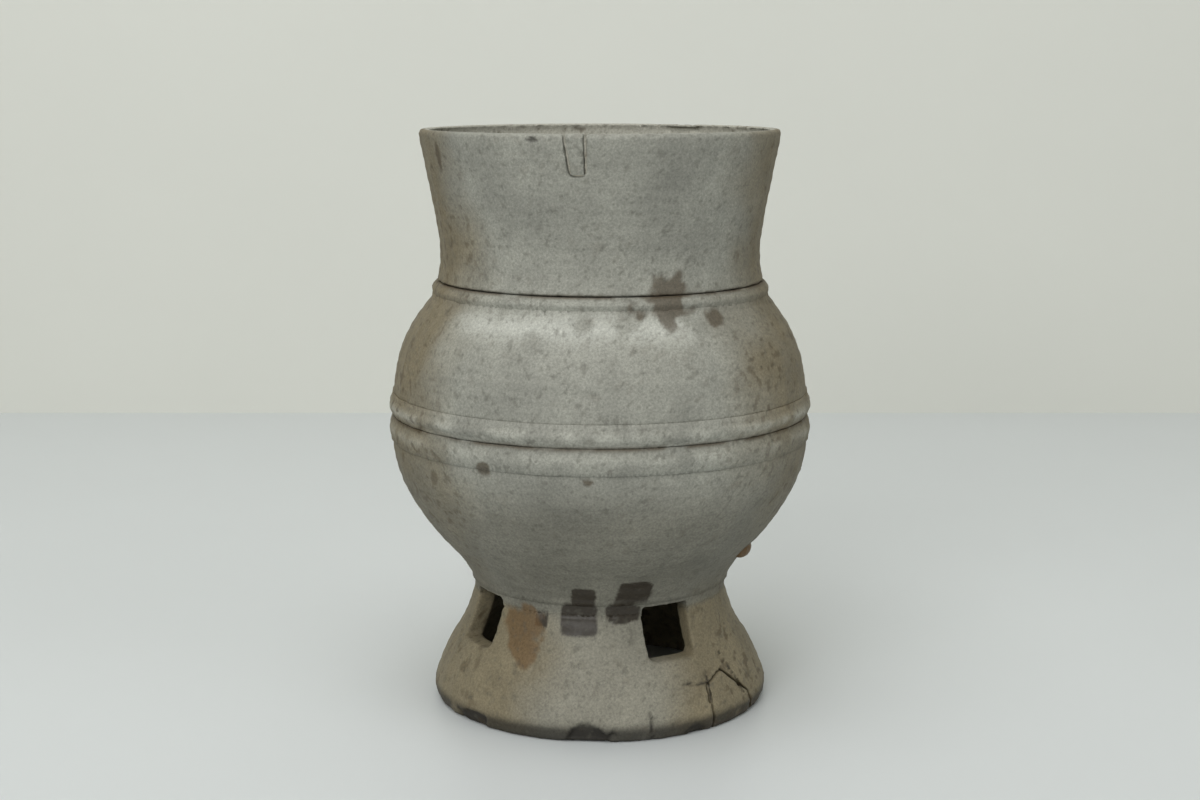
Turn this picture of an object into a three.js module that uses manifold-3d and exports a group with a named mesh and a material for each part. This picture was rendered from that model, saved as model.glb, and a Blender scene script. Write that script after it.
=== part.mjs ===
// Pedestalled stoneware jar with a flared mouth, a belly band of two ridges and a pierced foot.
// Millimetres, +Z up, origin at the centre of the foot's resting ring.
import * as THREE from 'three';
import { mergeVertices } from 'three/addons/utils/BufferGeometryUtils.js';
import Module from 'manifold-3d';

const wasm = await Module();
wasm.setup();

// Heights of the members, from the table up
const footHeight = 33.5;
const collarHeight = 3.5;
const bowlHeight = 43;
const lowerRidgeHeight = 7;
const upperRidgeHeight = 6;
const shoulderHeight = 29;
const neckCoilHeight = 4;
const neckHeight = 44;

// Outer radii
const footRestRadius = 49.6;
const footLipRadius = 51;
const footCreaseRadius = 46.3;
const jointRadius = 38.1;
const bellyRadius = 62.4;
const ridgeProud = 0.9;
const shoulderTopRadius = 50;
const neckBaseRadius = 48.6;
const neckWaistRadius = 47.3;
const rimRadius = 53.4;

// Walls
const bodyWall = 5;
const footWall = 6.5;
const rimWall = 3.6;
const floorThickness = 6;

// The foot's lip and windows
const lipHeight = 5;
const creaseHeight = 16;
const windowCount = 4;
const windowWidth = 14.5;
const windowHeight = 15;
const windowSill = 20.5;

// Refitted sherds and the kiln scar, at their places round the axis
const joinGap = 0.3;
const rimSherdAngle = -38;
const rimSherdTopWidth = 6;
const rimSherdDrop = 11;
const footSherdAngle = 22;
const footSherdWidth = 21;
const footSherdHeight = 15;
const scarAngle = 40;
const scarLength = 11;
const scarDepth = 6;
const scarHeight = 10;

const turnSteps = 36;
const curveSteps = 5;

const collarBottom = footHeight;
const bowlBottom = collarBottom + collarHeight;
const lowerRidgeBottom = bowlBottom + bowlHeight;
const upperRidgeBottom = lowerRidgeBottom + lowerRidgeHeight;
const shoulderBottom = upperRidgeBottom + upperRidgeHeight;
const neckCoilBottom = shoulderBottom + shoulderHeight;
const neckBottom = neckCoilBottom + neckCoilHeight;
const rimTop = neckBottom + neckHeight;

function curve(points, steps = curveSteps) {
  return new THREE.SplineCurve(points.map(([r, z]) => new THREE.Vector2(r, z))).getPoints(steps);
}

// Outer line of each member, from its bottom to its top
const bowlRise = bellyRadius - jointRadius;
const footFlare = footCreaseRadius - jointRadius;
const shoulderFall = bellyRadius - shoulderTopRadius;
const neckFlare = rimRadius - neckWaistRadius;
const outlines = {
  foot: [
    ...curve([
      [footRestRadius, 0],
      [footLipRadius, lipHeight * 0.6],
      [footLipRadius - 1, lipHeight * 1.5],
      [footCreaseRadius, creaseHeight],
    ]),
    ...curve([
      [footCreaseRadius, creaseHeight],
      [jointRadius + footFlare * 0.4, THREE.MathUtils.lerp(creaseHeight, footHeight, 0.45)],
      [jointRadius, footHeight],
    ]).slice(1),
  ],
  collar: [
    [jointRadius, collarBottom],
    [jointRadius + 0.7, bowlBottom],
  ],
  bowl: curve([
    [jointRadius + 0.7, bowlBottom],
    [jointRadius + bowlRise * 0.2, bowlBottom + bowlHeight * 0.163],
    [jointRadius + bowlRise * 0.5, bowlBottom + bowlHeight * 0.349],
    [jointRadius + bowlRise * 0.76, bowlBottom + bowlHeight * 0.56],
    [jointRadius + bowlRise * 0.94, bowlBottom + bowlHeight * 0.79],
    [bellyRadius, lowerRidgeBottom],
  ], curveSteps * 2),
  lowerRidge: curve([
    [bellyRadius, lowerRidgeBottom],
    [bellyRadius + ridgeProud, lowerRidgeBottom + lowerRidgeHeight * 0.4],
    [bellyRadius - 0.2, upperRidgeBottom],
  ], 5),
  upperRidge: curve([
    [bellyRadius - 0.2, upperRidgeBottom],
    [bellyRadius + ridgeProud, upperRidgeBottom + upperRidgeHeight * 0.45],
    [bellyRadius - 0.4, shoulderBottom],
  ], 5),
  shoulder: curve([
    [bellyRadius - 0.4, shoulderBottom],
    [bellyRadius - shoulderFall * 0.17, shoulderBottom + shoulderHeight * 0.36],
    [bellyRadius - shoulderFall * 0.5, shoulderBottom + shoulderHeight * 0.69],
    [shoulderTopRadius - 0.4, neckCoilBottom],
  ], curveSteps + 1),
  neckCoil: curve([
    [shoulderTopRadius - 0.4, neckCoilBottom],
    [shoulderTopRadius + 0.3, neckCoilBottom + neckCoilHeight * 0.5],
    [neckBaseRadius, neckBottom],
  ], 4),
  neck: [
    ...curve([
      [neckBaseRadius, neckBottom],
      [neckWaistRadius, neckBottom + neckHeight * 0.18],
      [neckWaistRadius + neckFlare * 0.26, neckBottom + neckHeight * 0.45],
      [neckWaistRadius + neckFlare * 0.8, neckBottom + neckHeight * 0.82],
      [rimRadius, rimTop - 1],
    ], curveSteps + 1),
    [rimRadius - 0.8, rimTop],
  ],
};

function asPairs(outline) {
  return outline.map((p) => (Array.isArray(p) ? p : [p.x, p.y]));
}

// A wall's cross-section: up the outer line, down an inner line set in by the wall's thickness
function wallSection(outline, wallBottom, wallTop) {
  const outer = asPairs(outline);
  const first = outer[0][1];
  const last = outer[outer.length - 1][1];
  const inner = outer.map(([r, z]) => {
    const share = (z - first) / (last - first);
    return [r - THREE.MathUtils.lerp(wallBottom, wallTop, share), z];
  });
  return [...outer, ...inner.reverse(), outer[0]];
}

function turned(section) {
  const points = section.map(([r, z]) => new THREE.Vector2(Math.max(r, 0), z));
  const geometry = new THREE.LatheGeometry(points, turnSteps);
  geometry.rotateX(Math.PI / 2);
  return cleaned(geometry);
}

function cleaned(geometry) {
  const plain = geometry.clone();
  plain.deleteAttribute('normal');
  plain.deleteAttribute('uv');
  return mergeVertices(plain, 1e-4);
}

function toSolid(geometry) {
  const merged = cleaned(geometry);
  return new wasm.Manifold(new wasm.Mesh({
    numProp: 3,
    vertProperties: new Float32Array(merged.attributes.position.array),
    triVerts: new Uint32Array(merged.index.array),
  }));
}

function toGeometry(solid) {
  const mesh = solid.getMesh();
  const geometry = new THREE.BufferGeometry();
  geometry.setAttribute('position', new THREE.BufferAttribute(new Float32Array(mesh.vertProperties), 3));
  geometry.setIndex(new THREE.BufferAttribute(new Uint32Array(mesh.triVerts), 1));
  return geometry;
}

// Faces the local frame (right, up, out) towards an angle round the axis; 0 faces -Y
function faceOut(geometry, degrees) {
  const angle = THREE.MathUtils.degToRad(degrees);
  const right = new THREE.Vector3(Math.cos(angle), Math.sin(angle), 0);
  const up = new THREE.Vector3(0, 0, 1);
  const out = new THREE.Vector3(Math.sin(angle), -Math.cos(angle), 0);
  return geometry.applyMatrix4(new THREE.Matrix4().makeBasis(right, up, out));
}

function prism(corners, near, far, degrees) {
  const shape = new THREE.Shape(corners.map(([x, y]) => new THREE.Vector2(x, y)));
  const geometry = new THREE.ExtrudeGeometry(shape, { depth: far - near, bevelEnabled: false });
  geometry.translate(0, 0, near);
  return toSolid(faceOut(geometry, degrees));
}

// Wedge of the rim that was broken out and set back
function rimWedge(grow) {
  const half = rimSherdTopWidth / 2 + grow;
  const bottom = rimTop - rimSherdDrop - grow;
  const above = rimTop + 5;
  const corners = [[half * 0.7 + 1, bottom], [half, above], [-half, above], [-half * 0.3, bottom]];
  return prism(corners, neckWaistRadius / 2, rimRadius + 5, rimSherdAngle);
}

// Sherd of the foot's edge, bounded by the cracks below a window
function footWedge(grow) {
  const half = footSherdWidth / 2 + grow;
  const top = footSherdHeight + grow;
  const corners = [[-half * 0.9, -5], [half, -5], [half * 0.75, top * 0.45], [-half * 0.2, top], [-half * 0.9, top * 0.8]];
  return prism(corners, jointRadius / 2, footLipRadius + 5, footSherdAngle);
}

function footWindows() {
  const reach = footLipRadius + 5;
  let cut = null;
  for (let i = 0; i < windowCount; i += 1) {
    const box = new THREE.BoxGeometry(windowWidth, windowHeight, reach / 2);
    box.translate(0, windowSill + windowHeight / 2, reach * 0.75);
    const solid = toSolid(faceOut(box, (360 / windowCount) * i));
    cut = cut ? cut.add(solid) : solid;
  }
  return cut;
}

// The bowl closes below with a floor, whose underside is the roof of the foot's hollow
function bowlSection(grow = 0) {
  const outer = asPairs(outlines.bowl).map(([r, z]) => [r + grow, z]);
  const floorTop = bowlBottom + floorThickness;
  const inner = asPairs(outlines.bowl)
    .map(([r, z]) => [r - bodyWall, z])
    .filter(([, z]) => z > floorTop + 1)
    .reverse();
  const floorEdge = inner[inner.length - 1][0] - 4;
  return [[0, bowlBottom], ...outer, ...inner, [floorEdge, floorTop], [0, floorTop]];
}

function kilnScar() {
  const lump = new THREE.SphereGeometry(1, 12, 8);
  lump.scale(scarLength / 2, scarDepth / 2, scarDepth / 2);
  const t = scarHeight / bowlHeight;
  const ring = asPairs(outlines.bowl).reduce((a, b) => (
    Math.abs(b[1] - bowlBottom - bowlHeight * t) < Math.abs(a[1] - bowlBottom - bowlHeight * t) ? b : a
  ));
  lump.translate(0, ring[1], ring[0]);
  return toSolid(faceOut(lump, scarAngle)).subtract(toSolid(turned(bowlSection(joinGap))));
}

function clay(name, geometry, color, roughness) {
  const material = new THREE.MeshStandardMaterial({ color, roughness, metalness: 0 });
  const mesh = new THREE.Mesh(geometry, material);
  mesh.name = name;
  return mesh;
}

const neckWallSolid = toSolid(turned(wallSection(outlines.neck, bodyWall, rimWall)));
const footWallSolid = toSolid(turned(wallSection(outlines.foot, footWall, footWall)));
const collarSolid = toSolid(turned(wallSection(outlines.collar, footWall, footWall))).subtract(footWindows());

const jar = new THREE.Group();
jar.add(
  clay('neck', toGeometry(neckWallSolid.subtract(rimWedge(joinGap))), 0x8f8d84, 0.72),
  clay('rim_sherd', toGeometry(neckWallSolid.intersect(rimWedge(0))), 0x8a8778, 0.72),
  clay('neck_coil', turned(wallSection(outlines.neckCoil, bodyWall, bodyWall)), 0x8c887c, 0.74),
  clay('shoulder', turned(wallSection(outlines.shoulder, bodyWall, bodyWall)), 0x8b877d, 0.72),
  clay('upper_ridge_coil', turned(wallSection(outlines.upperRidge, bodyWall, bodyWall)), 0xa09a8c, 0.7),
  clay('lower_ridge_coil', turned(wallSection(outlines.lowerRidge, bodyWall, bodyWall)), 0x9b9588, 0.7),
  clay('lower_bowl', turned(bowlSection()), 0x807b70, 0.72),
  clay('foot_collar', toGeometry(collarSolid), 0x857d6e, 0.7),
  clay('pedestal_foot', toGeometry(footWallSolid.subtract(footWindows()).subtract(footWedge(joinGap))), 0xa69c8b, 0.74),
  clay('foot_sherd', toGeometry(footWallSolid.intersect(footWedge(0))), 0xa3998a, 0.74),
  clay('kiln_scar', toGeometry(kilnScar()), 0x7a5536, 0.6),
);

export default jar;
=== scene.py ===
import math

import bmesh
import bpy
import numpy as np
from mathutils import Euler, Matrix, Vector


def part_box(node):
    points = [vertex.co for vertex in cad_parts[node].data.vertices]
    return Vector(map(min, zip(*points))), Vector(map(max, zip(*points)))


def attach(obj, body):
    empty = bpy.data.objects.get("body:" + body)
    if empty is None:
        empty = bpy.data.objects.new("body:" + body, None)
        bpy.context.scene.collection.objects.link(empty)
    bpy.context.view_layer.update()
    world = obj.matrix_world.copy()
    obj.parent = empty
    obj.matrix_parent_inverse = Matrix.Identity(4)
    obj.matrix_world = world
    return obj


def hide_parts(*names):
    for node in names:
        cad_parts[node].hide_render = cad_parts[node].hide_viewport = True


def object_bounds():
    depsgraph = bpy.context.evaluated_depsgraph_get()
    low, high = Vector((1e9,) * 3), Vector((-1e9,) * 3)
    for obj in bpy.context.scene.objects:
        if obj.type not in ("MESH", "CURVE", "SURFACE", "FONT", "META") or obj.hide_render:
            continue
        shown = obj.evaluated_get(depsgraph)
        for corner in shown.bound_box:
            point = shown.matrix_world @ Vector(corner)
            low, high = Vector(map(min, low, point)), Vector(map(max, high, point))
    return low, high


bl_info = {
    "name": "Pedestalled Stoneware Jar",
    "version": (1, 0, 0),
    "blender": (4, 5, 0),
    "location": "3D View > Sidebar > Jar",
    "description": "Fired surface, repairs and stage of a pedestalled stoneware jar",
    "category": "Object",
}

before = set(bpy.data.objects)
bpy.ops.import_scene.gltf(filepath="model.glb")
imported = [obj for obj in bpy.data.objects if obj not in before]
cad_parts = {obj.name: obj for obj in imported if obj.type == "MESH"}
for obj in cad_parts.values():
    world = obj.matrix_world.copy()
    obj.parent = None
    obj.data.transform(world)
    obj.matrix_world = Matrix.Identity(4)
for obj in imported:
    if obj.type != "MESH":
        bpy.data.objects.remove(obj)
CAD_LOW, CAD_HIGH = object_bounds()
JAR_HEIGHT = CAD_HIGH.z

# The jar's front, as a turn from -Y, and the unit that its marks are given in
FACING = math.radians(-30)
MM = 0.001

# Heights of the joins, from the frame's own pieces
FOOT_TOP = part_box("pedestal_foot")[1].z
BOWL_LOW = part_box("lower_bowl")[0].z
BAND_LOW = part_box("lower_ridge_coil")[0].z
BAND_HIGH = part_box("upper_ridge_coil")[1].z
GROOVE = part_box("upper_ridge_coil")[0].z
NECK_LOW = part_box("neck")[0].z
NECK_COIL_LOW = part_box("neck_coil")[0].z

# Joins that the potter smoothed over, and how far each member runs past one
SMOOTHED_JOINS = (FOOT_TOP, BOWL_LOW, BAND_LOW, BAND_HIGH, NECK_COIL_LOW)
JOIN_LAP = 0.45 * MM

# How near a join a point of an end lies, and the end itself
JOIN_REACH = 0.7 * MM
SAME_HEIGHT = 0.1 * MM

# How far the kiln scar is pushed against the wall
SCAR_SEAT = 2.2 * MM

# Patches on the wall: degrees right of the front, then height, width and tallness in mm
GLOSSY_PATCHES = (
    (14, 41, 10.5, 7),
    (-7, 40, 7, 5),
    (-9, 32.5, 10.5, 9),
    (11, 34, 10, 5),
    (-26, 31.5, 4.5, 4),
)
STAINS = (
    (23, 126, 19, 19),
    (-60, 163, 3, 11),
    (37, 119, 7, 8),
    (-3, 78, 5, 3),
    (-31, 80, 5, 4),
    (72, 48, 14, 9),
)
OCHRE_PATCH = (-34, 27, 14, 17)

# Chips are patches with a depth in mm
CHIPS = (
    (-4, 1, 18, 9, 1.5),
    (-48, 1, 12, 6, 1.0),
    (33, 1, 10, 3, 0.6),
    (-20, 168.5, 4, 2, 0.5),
    (150, 169, 16, 3, 1.1),
)

# Cracks run between two places, each in degrees and mm
CRACKS = (
    ((40, 16), (43, 8)),
    ((30, 14), (40, 13)),
    ((48, 19), (62, 7)),
    ((18, 8), (18, 1)),
)

# A crack's depth, width and wander in mm, and the foot's radius where they run
CRACK_DEPTH = 0.55
CRACK_WIDTH = 0.5
CRACK_WANDER = 0.7
FOOT_RADIUS = 47

# The dark edge that the jar stands on: partly worn, darker clay and partly painted shade under the foot
EDGE_WEAR_AND_SHADE_LOW = 3.0 * MM
EDGE_WEAR_AND_SHADE_HIGH = 6.0 * MM

# Turns the noise off the jar's own axes, so that its grid doesn't show as rows
NOISE_TURN = np.array(Euler((0.7, 0.5, 0.9)).to_matrix())
NOISE_SHIFT = 37.0

# Large numbers that stir a cell's place and a seed into a random value
CELL_STIR = np.array((374761393, 668265263, 2147483647))
SEED_STIR = 144665
LAST_STIR = 1274126177
LOW_BITS = 0xFFFF

# Where a patch starts to fade and where it ends, as a share of its half size
SOFT_START = 0.75
CRISP_START = 0.93
PATCH_END = 1.05

# Relief in mm: how far the fired surface sits inside the turned one, and how much each mark adds
SET_IN = 0.3
RING_DEPTH = 0.05
SWELL_DEPTH = 0.22
OVAL_DEPTH = 0.1
GRAIN_DEPTH = 0.07
LUMP_DEPTH = 0.06
PIT_DEPTH = 0.28
FLAKE_DEPTH = 0.45

# Throwing rings up the wall, in radians to a mm
RING_RATE = 1.9

# Share of the relief that a level face keeps
LEVEL_RELIEF = 0.25

# A point belongs to a member's end where its normal points up or down by more than this share
END_NORMAL = 0.3

# The kiln scar's slag against the clay: finer mesh, lower roughness, and a share of the ochre
SLAG_FINENESS = 0.6
SLAG_SHEEN = 0.15
SLAG_SHADE = 0.5

# Finish of a glossy patch, the table and the backdrop
GLOSSY_ROUGHNESS = 0.4
TABLE_ROUGHNESS = 0.42
BACKDROP_ROUGHNESS = 0.9

# The stage in metres, the camera's frame in mm, and the room's light
TABLE_REACH = 3
BACKDROP_REACH = 4
BACKDROP_HEIGHT = 3
FRAME_WIDTH = 36
ROOM_STRENGTH = 0.5

# Points of a frame piece that are closer than this are one point
SAME_PLACE = 1e-6


def lattice(points, size, seed):
    """Smooth random values from -1 to 1 that change over a distance of size."""
    scaled = points @ NOISE_TURN / size + NOISE_SHIFT
    cell = np.floor(scaled).astype(np.int64)
    part = scaled - cell
    part = part * part * (3 - 2 * part)
    total = np.zeros(len(points))
    for corner in range(8):
        offset = np.array([corner & 1, corner >> 1 & 1, corner >> 2 & 1])
        mixed = (cell + offset) @ CELL_STIR + seed * SEED_STIR
        mixed = (mixed ^ (mixed >> 13)) * LAST_STIR
        value = ((mixed ^ (mixed >> 16)) & LOW_BITS) / (LOW_BITS / 2) - 1
        total += value * np.prod(np.where(offset, part, 1 - part), axis=1)
    return total


def layered(points, size, seed, layers=3):
    """Several lattices, each half the size and strength of the one before."""
    total = np.zeros(len(points))
    for layer in range(layers):
        total += lattice(points, size / 2 ** layer, seed + layer) / 2 ** layer
    return total


def above(value, low, high):
    """0 below low, 1 above high, smooth between."""
    share = np.clip((value - low) / (high - low), 0, 1)
    return share * share * (3 - 2 * share)


def below(value, high, low):
    """0 above high, 1 below low, smooth between."""
    return above(-value, -high, -low)


def bell(value, middle, spread):
    """1 at the middle, falling away on both sides."""
    return np.exp(-((value - middle) / spread) ** 2)


def around(points):
    """Degrees to the right of the jar's front, from -180 to 180."""
    turn = np.degrees(np.arctan2(points[:, 0], -points[:, 1]) - FACING)
    return (turn + 180) % 360 - 180


def radius_of(points):
    """Distance from the jar's axis."""
    return np.hypot(points[:, 0], points[:, 1])


def spot(points, patch, wobble, seed, square=2):
    """1 inside a ragged patch on the wall, 0 outside.

    A square of 2 gives a round patch with a soft edge, and more than that one with corners.
    """
    degrees, height, wide, tall = patch
    across = np.radians(around(points) - degrees) * radius_of(points) / MM
    up = points[:, 2] / MM - height
    far = (np.abs(across / (wide / 2)) ** square + np.abs(up / (tall / 2)) ** square) ** (1 / square)
    far += wobble * layered(points, 5 * MM, seed)
    return 1 - above(far, SOFT_START if square == 2 else CRISP_START, PATCH_END)


def line(points, start, end, thick):
    """1 on a thin wandering line between two places in degrees and mm, 0 away from it."""
    place = np.stack([np.radians(around(points)) * radius_of(points) / MM, points[:, 2] / MM], 1)
    wander = np.stack([lattice(points, 4 * MM, seed=51), lattice(points, 4 * MM, seed=52)], 1)
    place += CRACK_WANDER * wander
    scale = np.array([math.radians(FOOT_RADIUS), 1])
    first = np.array(start) * scale
    along = np.array(end) * scale - first
    share = np.clip((place - first) @ along / (along @ along), 0, 1)
    gap = np.linalg.norm(place - first - share[:, None] * along, axis=1)
    return 1 - above(gap, thick * 0.4, thick)


def cover(colour, paint, share):
    """Lays a paint over a colour at each point."""
    return colour * (1 - share[:, None]) + paint * share[:, None]


def clay_and_painted_shade(height, turn, broad, medium, flank_shade, paints):
    """Grey at the front, taupe painted on the flanks as shade, darker grey painted below the band as shade,
    and a buff foot whose front is lighter and whose flanks are painted shade.
    """
    # Painted shade: darker taupe on the flanks, which turn away from the front
    colour = cover(np.tile(paints["grey"], (len(height), 1)), paints["taupe"], flank_shade)
    # Painted shade: the lower bowl, below the band and above the foot, gets darker grey
    lower = below(height, BAND_LOW + 2 * MM, BAND_LOW - 18 * MM) * (height > FOOT_TOP)
    colour = cover(colour, paints["dark_grey"], 0.7 * lower)
    # Painted light and shade on the foot: a lighter grey front and darker buff flanks
    foot_flank_shade = above(np.abs(turn - 4) + 10 * broad, 16, 40)
    foot_lit_front = paints["buff"] * 0.3 + paints["grey"] * 0.6
    foot_clay_and_shade = cover(np.tile(foot_lit_front, (len(height), 1)), paints["buff"] * 0.85, foot_flank_shade)
    colour = cover(colour, foot_clay_and_shade, below(height, FOOT_TOP + 1 * MM, FOOT_TOP - 1 * MM))
    return colour * (1 + 0.13 * broad + 0.10 * medium)[:, None]


def band_light_joins_and_ash(colour, height, turn, medium, outside, paints):
    """Painted highlight along the ridges, painted shade in the groove, dirt in the neck's join, and ash
    where it fell.
    """
    # Painted highlight: pale bands along the tops of the two ridges
    ridges = np.maximum(
        bell(height, GROOVE + 2.8 * MM, 1.3 * MM),
        0.6 * bell(height, GROOVE - 3.6 * MM, 1.6 * MM),
    )
    colour = cover(colour, paints["pale"], 0.5 * ridges * above(medium, -0.6, 0.3) * outside)
    # Painted shade: a brown line down the hollow between the ridges
    groove = bell(height, GROOVE - 0.2 * MM, 0.7 * MM)
    colour = cover(colour, paints["brown"], 0.75 * groove * above(medium, -0.8, 0.1) * outside)
    ash = bell(height, NECK_COIL_LOW - 4 * MM, 3.4 * MM) * below(np.abs(turn + 8), 48, 30)
    colour = cover(colour, paints["ash"], 0.75 * ash * above(medium, -0.7, 0.2) * outside)
    join = bell(height, NECK_LOW, 0.55 * MM)
    colour = cover(colour, paints["brown"], 0.8 * join * above(medium, -1.0, 0.0) * outside)
    mouth = (1 - outside) * above(height, NECK_LOW, JAR_HEIGHT)
    return cover(colour, paints["pale"], 0.7 * mouth)


def marks(colour, points, outside, paints):
    """Stains, glossy patches and ochre on the wall. Returns the colour and the gloss."""
    gloss = np.zeros(len(points))
    for patch in STAINS:
        colour = cover(colour, paints["brown"], 0.75 * spot(points, patch, wobble=0.5, seed=5) * outside)
    for patch in GLOSSY_PATCHES:
        share = spot(points, patch, wobble=0.16, seed=8, square=6) * outside
        colour = cover(colour, paints["glossy_brown"], 0.92 * share)
        gloss = np.maximum(gloss, share)
    ochre = 0.75 * spot(points, OCHRE_PATCH, wobble=0.6, seed=9) * outside
    return cover(colour, paints["ochre"] * 0.55, ochre), gloss


def wear_and_edge_shade(colour, points, broad, medium, outside, paints):
    """The dark standing edge, partly worn clay and partly painted shade under the foot, and dark chips and
    cracks.
    """
    # Partly worn clay, partly painted shade: black along the lowest few mm of the foot
    edge = below(points[:, 2], EDGE_WEAR_AND_SHADE_HIGH, EDGE_WEAR_AND_SHADE_LOW) * above(medium + 0.5 * broad, -1.1, -0.3)
    colour = cover(colour, paints["black"], 0.8 * edge * outside)
    for *patch, _ in CHIPS:
        colour = cover(colour, paints["black"], 0.75 * spot(points, patch, wobble=0.4, seed=13) * outside)
    for start, end in CRACKS:
        colour = cover(colour, paints["black"], 0.85 * line(points, start, end, thick=0.45) * outside)
    return colour


def speckle(colour, points, broad, flank_shade, paints):
    """Brown freckles, denser on the flanks where they add to the painted shade, and fine pepper all over.
    """
    freckle = above(lattice(points, 1.6 * MM, seed=61) + 0.3 * broad, 0.55, 0.75)
    # Freckles gather on the flanks, which deepens the painted shade there
    colour = cover(colour, paints["brown"], 0.6 * freckle * (0.25 + 0.75 * flank_shade))
    pepper = above(lattice(points, 0.9 * MM, seed=67), 0.45, 0.7)
    return cover(colour, paints["dark_grey"] * 0.6, 0.4 * pepper)


def clay_colour(points, normals, paints):
    """The fired colour, with its painted light and shade, and the gloss at each point."""
    height = points[:, 2]
    turn = around(points)
    broad = layered(points, 26 * MM, seed=11)
    medium = layered(points, 7 * MM, seed=21)
    # The flanks, turned away from the front, get painted shade
    flank_shade = above(np.abs(turn) + 14 * broad, 38, 72)
    outward = normals[:, 0] * points[:, 0] + normals[:, 1] * points[:, 1]
    outside = above(outward, -1 * MM, 1 * MM)
    colour = clay_and_painted_shade(height, turn, broad, medium, flank_shade, paints)
    colour = band_light_joins_and_ash(colour, height, turn, medium, outside, paints)
    colour, gloss = marks(colour, points, outside, paints)
    colour = wear_and_edge_shade(colour, points, broad, medium, outside, paints)
    colour = speckle(colour, points, broad, flank_shade, paints)
    return np.clip(colour, 0, 1), gloss


def surface_relief(points):
    """Where the fired surface lies against the turned one, in metres: mostly inside it, so below 0."""
    height = points[:, 2]
    turn = np.radians(around(points))
    drift = 1.5 * lattice(points, 22 * MM, seed=31)
    rings = RING_DEPTH * np.sin(height / MM * RING_RATE + drift)
    swell = SWELL_DEPTH * lattice(points, 24 * MM, seed=33) + OVAL_DEPTH * np.sin(2 * turn + 1)
    grain = GRAIN_DEPTH * lattice(points, 1.7 * MM, seed=35) + LUMP_DEPTH * lattice(points, 4 * MM, seed=36)
    pits = PIT_DEPTH * above(lattice(points, 2.3 * MM, seed=38), 0.66, 0.85)
    relief = rings + swell + grain - pits - SET_IN
    for *patch, depth in CHIPS:
        relief -= depth * spot(points, patch, wobble=0.5, seed=13)
    for start, end in CRACKS:
        relief -= CRACK_DEPTH * line(points, start, end, CRACK_WIDTH)
    flaky = bell(height, GROOVE + 0.6 * MM, 0.9 * MM)
    relief -= FLAKE_DEPTH * flaky * above(lattice(points, 3 * MM, seed=41), 0.0, 0.5)
    return relief * MM


def object_noise(nodes, links, scale, detail):
    """A noise that sits in the jar's own space."""
    place = nodes.new("ShaderNodeTexCoord")
    noise = nodes.new("ShaderNodeTexNoise")
    noise.inputs["Scale"].default_value = scale
    noise.inputs["Detail"].default_value = detail
    links.new(place.outputs["Object"], noise.inputs["Vector"])
    return noise


def painted(nodes, name):
    """Reads one of the mesh's own attributes."""
    attribute = nodes.new("ShaderNodeAttribute")
    attribute.attribute_name = name
    return attribute


def fired_material(name, roughness):
    """Stoneware: painted clay colour, salt-and-pepper grain, fine pores and glossy patches."""
    material = bpy.data.materials.new(name)
    material.use_nodes = True
    nodes = material.node_tree.nodes
    links = material.node_tree.links
    shader = nodes["Principled BSDF"]
    shader.inputs["Specular IOR Level"].default_value = 0.4

    grain = object_noise(nodes, links, scale=1500, detail=3)
    grain.inputs["Roughness"].default_value = 0.75
    brightness = nodes.new("ShaderNodeMapRange")
    brightness.inputs["From Min"].default_value = 0.3
    brightness.inputs["From Max"].default_value = 0.7
    brightness.inputs["To Min"].default_value = 0.72
    brightness.inputs["To Max"].default_value = 1.26
    tint = nodes.new("ShaderNodeVectorMath")
    tint.operation = "SCALE"
    links.new(grain.outputs["Fac"], brightness.inputs["Value"])
    links.new(painted(nodes, "clay").outputs["Color"], tint.inputs[0])
    links.new(brightness.outputs["Result"], tint.inputs["Scale"])
    links.new(tint.outputs["Vector"], shader.inputs["Base Color"])

    mottle = object_noise(nodes, links, scale=420, detail=5)
    dullness = nodes.new("ShaderNodeMapRange")
    dullness.inputs["To Min"].default_value = roughness - 0.12
    dullness.inputs["To Max"].default_value = roughness + 0.14
    glossy = nodes.new("ShaderNodeMix")
    glossy.data_type = "FLOAT"
    glossy.inputs["B"].default_value = GLOSSY_ROUGHNESS
    links.new(mottle.outputs["Fac"], dullness.inputs["Value"])
    links.new(dullness.outputs["Result"], glossy.inputs["A"])
    links.new(painted(nodes, "gloss").outputs["Fac"], glossy.inputs["Factor"])
    links.new(glossy.outputs["Result"], shader.inputs["Roughness"])

    pores = nodes.new("ShaderNodeBump")
    pores.inputs["Strength"].default_value = 0.35
    pores.inputs["Distance"].default_value = 0.00025
    links.new(mottle.outputs["Fac"], pores.inputs["Height"])
    links.new(pores.outputs["Normal"], shader.inputs["Normal"])
    return material


def close_join(points, normals, low, high):
    """Runs a member's end faces a little way into its neighbours, where the join is smoothed over."""
    for height, side in ((low, -1), (high, 1)):
        if min(abs(height - join) for join in SMOOTHED_JOINS) < SAME_HEIGHT:
            near = np.abs(points[:, 2] - height) < JOIN_REACH
            faces_end = normals[:, 2] * side > END_NORMAL
            points[near & faces_end, 2] = height + side * JOIN_LAP
    return points


def seat_scar(points, low, high):
    """Pushes the kiln scar against the wall that it is stuck to."""
    inward = -points / np.maximum(radius_of(points), MM)[:, None]
    seated = points + inward * np.array([1, 1, 0]) * SCAR_SEAT
    return np.clip(seated, low - SCAR_SEAT, high + SCAR_SEAT)


def weather(points, normals, low, high):
    """Gives a wall its relief, weaker on its level faces, within the frame piece's box."""
    sideways = 1 - np.abs(normals[:, 2]) ** 4
    share = LEVEL_RELIEF + (1 - LEVEL_RELIEF) * sideways
    moved = points + normals * (surface_relief(points) * share)[:, None]
    return close_join(np.clip(moved, low, high), normals, low[2], high[2])


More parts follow.
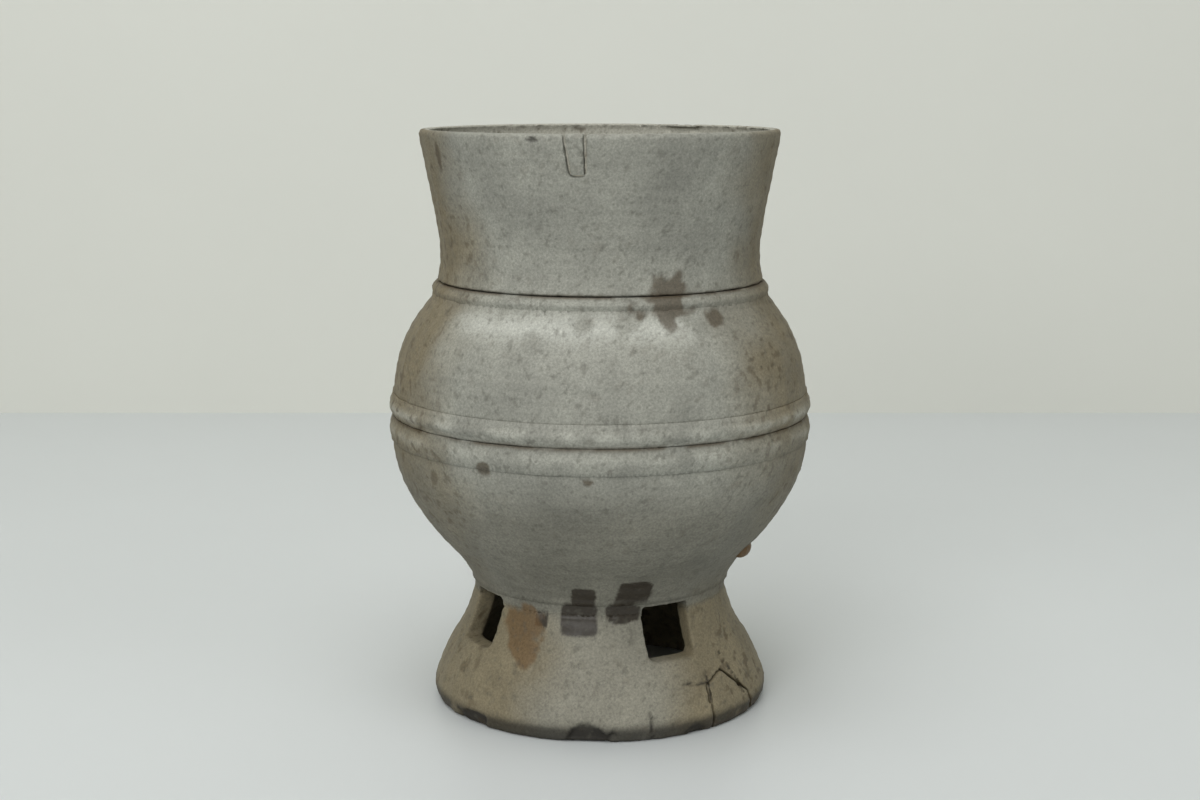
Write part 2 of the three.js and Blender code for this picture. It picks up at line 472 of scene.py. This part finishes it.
def plain_copy(node):
    """A copy of a frame piece with its loose triangles joined."""
    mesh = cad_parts[node].data.copy()
    shell = bmesh.new()
    shell.from_mesh(mesh)
    bmesh.ops.remove_doubles(shell, verts=shell.verts, dist=SAME_PLACE)
    shell.to_mesh(mesh)
    shell.free()
    mesh.materials.clear()
    piece = bpy.data.objects.new("fired_" + node, mesh)
    bpy.context.scene.collection.objects.link(piece)
    return piece


def fine_mesh(piece, grain):
    """Replaces a piece's mesh with an even fine one whose edges are softened."""
    remesh = piece.modifiers.new("grain", "REMESH")
    remesh.mode = "VOXEL"
    remesh.voxel_size = grain
    soften = piece.modifiers.new("soften", "SMOOTH")
    soften.factor = 0.5
    soften.iterations = 2
    evaluated = piece.evaluated_get(bpy.context.evaluated_depsgraph_get())
    mesh = bpy.data.meshes.new_from_object(evaluated)
    piece.modifiers.clear()
    piece.data = mesh
    mesh.name = piece.name
    return mesh


def vertex_vectors(mesh, name):
    """The positions or normals of a mesh's vertices, one row each."""
    values = np.empty(len(mesh.vertices) * 3, np.float32)
    mesh.vertices.foreach_get(name, values)
    return values.reshape(-1, 3).astype(float)


def store_paint(mesh, colour, gloss):
    """Keeps the clay's colour and gloss on the mesh, for its material to read."""
    paint = mesh.attributes.new("clay", "FLOAT_COLOR", "POINT")
    opaque = np.concatenate([colour, np.ones((len(colour), 1))], 1)
    paint.data.foreach_set("color", opaque.astype(np.float32).ravel())
    shine = mesh.attributes.new("gloss", "FLOAT", "POINT")
    shine.data.foreach_set("value", gloss.astype(np.float32))


def fire(node, grain, roughness, paints):
    """Makes a frame piece's fired surface: fine mesh, softened edges, relief and colour."""
    piece = plain_copy(node)
    mesh = fine_mesh(piece, grain)
    points = vertex_vectors(mesh, "co")
    normals = vertex_vectors(mesh, "normal")
    low, high = (np.array(corner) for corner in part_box(node))
    is_scar = node == "kiln_scar"
    moved = seat_scar(points, low, high) if is_scar else weather(points, normals, low, high)
    mesh.vertices.foreach_set("co", moved.astype(np.float32).ravel())
    colour, gloss = clay_colour(moved, normals, paints)
    if is_scar:
        colour = np.tile(paints["ochre"] * SLAG_SHADE, (len(moved), 1))
    store_paint(mesh, colour, gloss)
    mesh.polygons.foreach_set("use_smooth", [True] * len(mesh.polygons))
    mesh.materials.append(fired_material(piece.name, roughness))
    mesh.update()
    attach(piece, "root")
    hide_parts(node)
    return piece


def linear(value):
    """A display value, 0 to 255, as the linear number that shading uses."""
    share = value / 255
    return share / 12.92 if share <= 0.04045 else ((share + 0.055) / 1.055) ** 2.4


def colour_property(name, description, *display):
    """A colour that a user can change, whose default is given as a display colour."""
    default = tuple(linear(value) for value in display)
    return bpy.props.FloatVectorProperty(
        name=name, description=description, default=default, size=3, subtype="COLOR",
    )


def length_property(name, description, default, **limits):
    """A length in metres that a user can change."""
    return bpy.props.FloatProperty(
        name=name, description=description, default=default, subtype="DISTANCE", unit="LENGTH", **limits,
    )


class JarPaints(bpy.types.PropertyGroup):
    """Colours that are painted on the clay"""

    grey: colour_property("Grey", "Clay at the front of the body", 143, 143, 134)
    # Taupe is painted shade on the flanks, where the wall turns away from the front
    taupe: colour_property("Taupe", "Clay on the flanks", 113, 104, 83)
    # Dark grey paints the shade below the band, and, darker still, the fine pepper
    dark_grey: colour_property("Dark grey", "Clay below the band", 104, 101, 89)
    buff: colour_property("Buff", "Clay of the foot", 134, 124, 100)
    # Pale paints the highlight on the ridges, and the mouth's inside
    pale: colour_property("Pale", "Worn ridges and the mouth's inside", 178, 178, 168)
    ash: colour_property("Ash", "Ash on the shoulder", 186, 187, 179)
    # Brown also paints the shade in the hollow between the ridges
    brown: colour_property("Brown", "Stains, freckles and dirt", 70, 57, 38)
    glossy_brown: colour_property("Glossy brown", "Patches round the foot's join", 38, 29, 18)
    ochre: colour_property("Ochre", "The patch by a window and the kiln scar", 138, 105, 62)
    # Black also paints the shade along the standing edge
    black: colour_property("Black", "The standing edge, chips and cracks", 30, 26, 21)


class JarSettings(bpy.types.PropertyGroup):
    """Mesh sizes, dullness, camera and stage"""

    wall_grain: length_property("Wall grain", "Mesh size of the large walls", 0.0008, min=0.0004)
    small_grain: length_property("Small grain", "Mesh size of coils and sherds", 0.0005, min=0.0003)
    roughness: bpy.props.FloatProperty(
        name="Roughness", description="Dullness of the fired clay",
        default=0.66, min=0, max=1, subtype="FACTOR",
    )
    lens: bpy.props.FloatProperty(
        name="Lens", description="Focal length in mm on a 36 mm frame", default=55,
    )
    camera_distance: length_property("Camera distance", "From the jar's axis", 0.541)
    camera_height: length_property("Camera height", "Above the table", 0.1858)
    camera_pitch: bpy.props.FloatProperty(
        name="Camera pitch", description="Angle below level",
        default=math.radians(10.11), subtype="ANGLE", unit="ROTATION",
    )
    wall_distance: length_property("Backdrop distance", "Behind the jar's axis", 0.46)
    table_colour: colour_property("Table", "Colour of the table", 208, 212, 213)
    wall_colour: colour_property("Backdrop", "Colour of the backdrop", 220, 221, 214)


def property_names(group):
    """The names of a group's settings, in order."""
    return list(group.__annotations__)


def fire_all(context, nodes, grain, roughness):
    """Fires several members with the scene's paints."""
    group = context.scene.jar_paints
    paints = {name: np.array(getattr(group, name)) for name in property_names(JarPaints)}
    for node in nodes:
        fire(node, grain, roughness, paints)


class JAR_OT_walls(bpy.types.Operator):
    """Fires the neck, shoulder, bowl and foot"""

    bl_idname = "jar.walls"
    bl_label = "Walls"

    def execute(self, context):
        settings = context.scene.jar
        walls = ("neck", "shoulder", "lower_bowl", "pedestal_foot")
        fire_all(context, walls, settings.wall_grain, settings.roughness)
        return {"FINISHED"}


class JAR_OT_coils(bpy.types.Operator):
    """Fires the luted coils: neck coil, the two belly ridges and the foot collar"""

    bl_idname = "jar.coils"
    bl_label = "Coils"

    def execute(self, context):
        settings = context.scene.jar
        coils = ("neck_coil", "upper_ridge_coil", "lower_ridge_coil", "foot_collar")
        fire_all(context, coils, settings.small_grain, settings.roughness)
        return {"FINISHED"}


class JAR_OT_sherds(bpy.types.Operator):
    """Fires the two refitted sherds and the kiln scar, whose slag is finer and glossier"""

    bl_idname = "jar.sherds"
    bl_label = "Sherds and scar"

    def execute(self, context):
        settings = context.scene.jar
        fire_all(context, ("rim_sherd", "foot_sherd"), settings.small_grain, settings.roughness)
        slag_grain = settings.small_grain * SLAG_FINENESS
        fire_all(context, ("kiln_scar",), slag_grain, settings.roughness - SLAG_SHEEN)
        return {"FINISHED"}


def plain_material(name, colour, roughness):
    """A faintly mottled table or backdrop surface."""
    material = bpy.data.materials.new(name)
    material.use_nodes = True
    nodes = material.node_tree.nodes
    links = material.node_tree.links
    shader = nodes["Principled BSDF"]
    shader.inputs["Roughness"].default_value = roughness
    cloud = object_noise(nodes, links, scale=9, detail=2)
    ramp = nodes.new("ShaderNodeValToRGB")
    ramp.color_ramp.elements[0].color = (*(c * 0.97 for c in colour), 1)
    ramp.color_ramp.elements[1].color = (*colour, 1)
    links.new(cloud.outputs["Fac"], ramp.inputs["Fac"])
    links.new(ramp.outputs["Color"], shader.inputs["Base Color"])
    return material


def seen_from_front(degrees, distance, height):
    """A point at an angle right of the jar's front."""
    angle = FACING + math.radians(degrees)
    return Vector((math.sin(angle) * distance, -math.cos(angle) * distance, height))


def soft_lamp(name, place, size, power):
    """A round lamp that faces the middle of the jar."""
    data = bpy.data.lights.new(name, "AREA")
    data.shape = "DISK"
    data.size = size
    data.energy = power
    lamp = bpy.data.objects.new(name, data)
    lamp.location = place
    aim = Vector((0, 0, JAR_HEIGHT * 0.5)) - place
    lamp.rotation_euler = aim.to_track_quat("-Z", "Y").to_euler()
    bpy.context.scene.collection.objects.link(lamp)


def flat_surface(name, corners, material):
    """A four-cornered surface of the stage."""
    mesh = bpy.data.meshes.new(name)
    mesh.from_pydata([tuple(c) for c in corners], [], [(0, 1, 2, 3)])
    mesh.materials.append(material)
    surface = bpy.data.objects.new(name, mesh)
    bpy.context.scene.collection.objects.link(surface)


def make_table(settings):
    """The table, level with the jar's foot."""
    far = TABLE_REACH
    corners = [(-far, -far, 0), (far, -far, 0), (far, far, 0), (-far, far, 0)]
    flat_surface("table", corners, plain_material("table", settings.table_colour, TABLE_ROUGHNESS))


def make_backdrop(settings):
    """An upright wall that faces the camera behind the jar."""
    middle = seen_from_front(180, settings.wall_distance, 0)
    right = Vector((math.cos(FACING), math.sin(FACING), 0)) * BACKDROP_REACH
    up = Vector((0, 0, BACKDROP_HEIGHT))
    corners = [middle - right, middle + right, middle + right + up, middle - right + up]
    material = plain_material("backdrop", settings.wall_colour, BACKDROP_ROUGHNESS)
    flat_surface("backdrop", corners, material)


def make_camera(scene, settings):
    """The camera in front of the jar, looking a little down."""
    data = bpy.data.cameras.new("camera")
    data.lens = settings.lens
    data.sensor_width = FRAME_WIDTH
    camera = bpy.data.objects.new("camera", data)
    camera.location = seen_from_front(0, settings.camera_distance, settings.camera_height)
    camera.rotation_euler = (math.pi / 2 - settings.camera_pitch, 0, FACING)
    scene.collection.objects.link(camera)
    scene.camera = camera


def make_light(scene, settings):
    """Three soft lamps and an even room."""
    soft_lamp("overhead", seen_from_front(-25, distance=0.35, height=1.3), size=1.1, power=8)
    soft_lamp("front", seen_from_front(-22, distance=1.3, height=0.8), size=0.9, power=8)
    soft_lamp("right", seen_from_front(60, distance=1.3, height=0.7), size=0.9, power=2)
    world = bpy.data.worlds.new("room")
    world.use_nodes = True
    background = world.node_tree.nodes["Background"]
    background.inputs["Color"].default_value = (*settings.wall_colour, 1)
    background.inputs["Strength"].default_value = ROOM_STRENGTH
    scene.world = world


class JAR_OT_stage(bpy.types.Operator):
    """Sets the table, the backdrop, the lamps and the camera"""

    bl_idname = "jar.stage"
    bl_label = "Stage"

    def execute(self, context):
        scene = context.scene
        make_table(scene.jar)
        make_backdrop(scene.jar)
        make_camera(scene, scene.jar)
        make_light(scene, scene.jar)
        scene.view_settings.view_transform = "Standard"
        return {"FINISHED"}


OPERATORS = (JAR_OT_walls, JAR_OT_coils, JAR_OT_sherds, JAR_OT_stage)


class JAR_PT_panel(bpy.types.Panel):
    """Lists the jar's settings and makers"""

    bl_label = "Stoneware jar"
    bl_idname = "JAR_PT_panel"
    bl_space_type = "VIEW_3D"
    bl_region_type = "UI"
    bl_category = "Jar"

    def draw(self, context):
        for name in property_names(JarSettings):
            self.layout.prop(context.scene.jar, name)
        for name in property_names(JarPaints):
            self.layout.prop(context.scene.jar_paints, name)
        for operator in OPERATORS:
            self.layout.operator(operator.bl_idname)


CLASSES = (JarPaints, JarSettings, *OPERATORS, JAR_PT_panel)


def register():
    """Adds the classes, and both groups of settings to the scene."""
    for kind in CLASSES:
        bpy.utils.register_class(kind)
    bpy.types.Scene.jar = bpy.props.PointerProperty(type=JarSettings)
    bpy.types.Scene.jar_paints = bpy.props.PointerProperty(type=JarPaints)


def unregister():
    """Takes away what register adds, in the reverse order."""
    del bpy.types.Scene.jar_paints
    del bpy.types.Scene.jar
    for kind in reversed(CLASSES):
        bpy.utils.unregister_class(kind)


def main():
    """Fires the jar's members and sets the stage."""
    register()
    bpy.ops.jar.walls()
    bpy.ops.jar.coils()
    bpy.ops.jar.sherds()
    bpy.ops.jar.stage()


if __name__ == "__main__":
    main()
